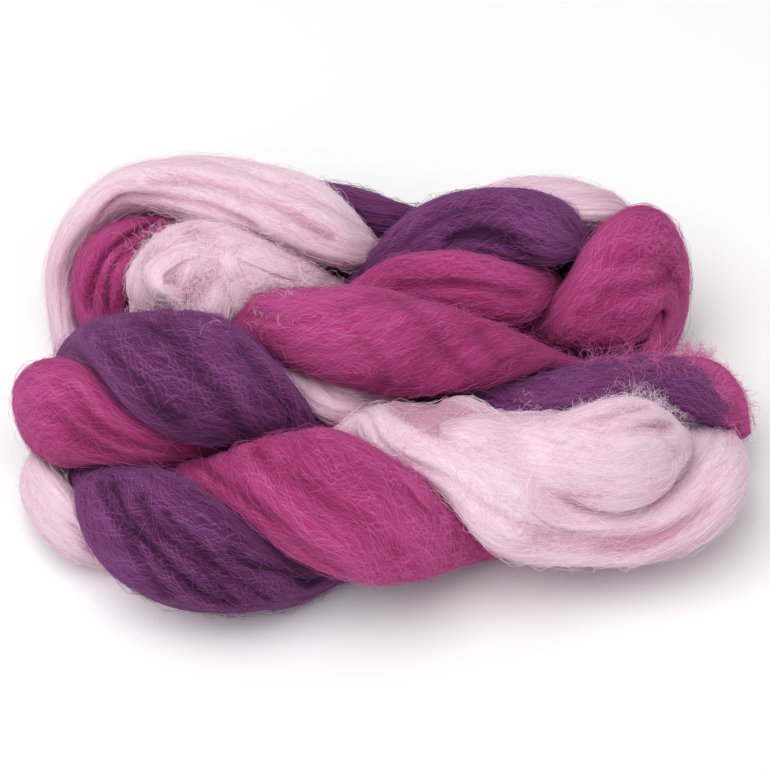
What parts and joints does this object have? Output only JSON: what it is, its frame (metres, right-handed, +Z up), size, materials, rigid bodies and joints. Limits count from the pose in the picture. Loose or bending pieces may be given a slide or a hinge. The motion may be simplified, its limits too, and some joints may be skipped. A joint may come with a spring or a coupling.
{
  "type": "hank of wool roving",
  "caption": "Oblong hank of combed wool roving in pale pink, magenta and purple, twisted into a soft thick rope and folded into two rows.",
  "frame": {"origin": "under the middle of the hank, on the surface that it rests on", "axes": "+X to the right along the two rows, +Y from the front row to the back row, +Z up"},
  "size_m": [0.2188, 0.1515, 0.0639],
  "materials": {
    "pink_wool": "matt, soft, fine loose fibres",
    "magenta_wool": "matt, soft, fine loose fibres",
    "purple_wool": "matt, soft, fine loose fibres"
  },
  "bodies": {
    "root": {"pink_roving": "pink_wool", "magenta_roving": "magenta_wool", "purple_roving": "purple_wool"}
  },
  "joints": []
}
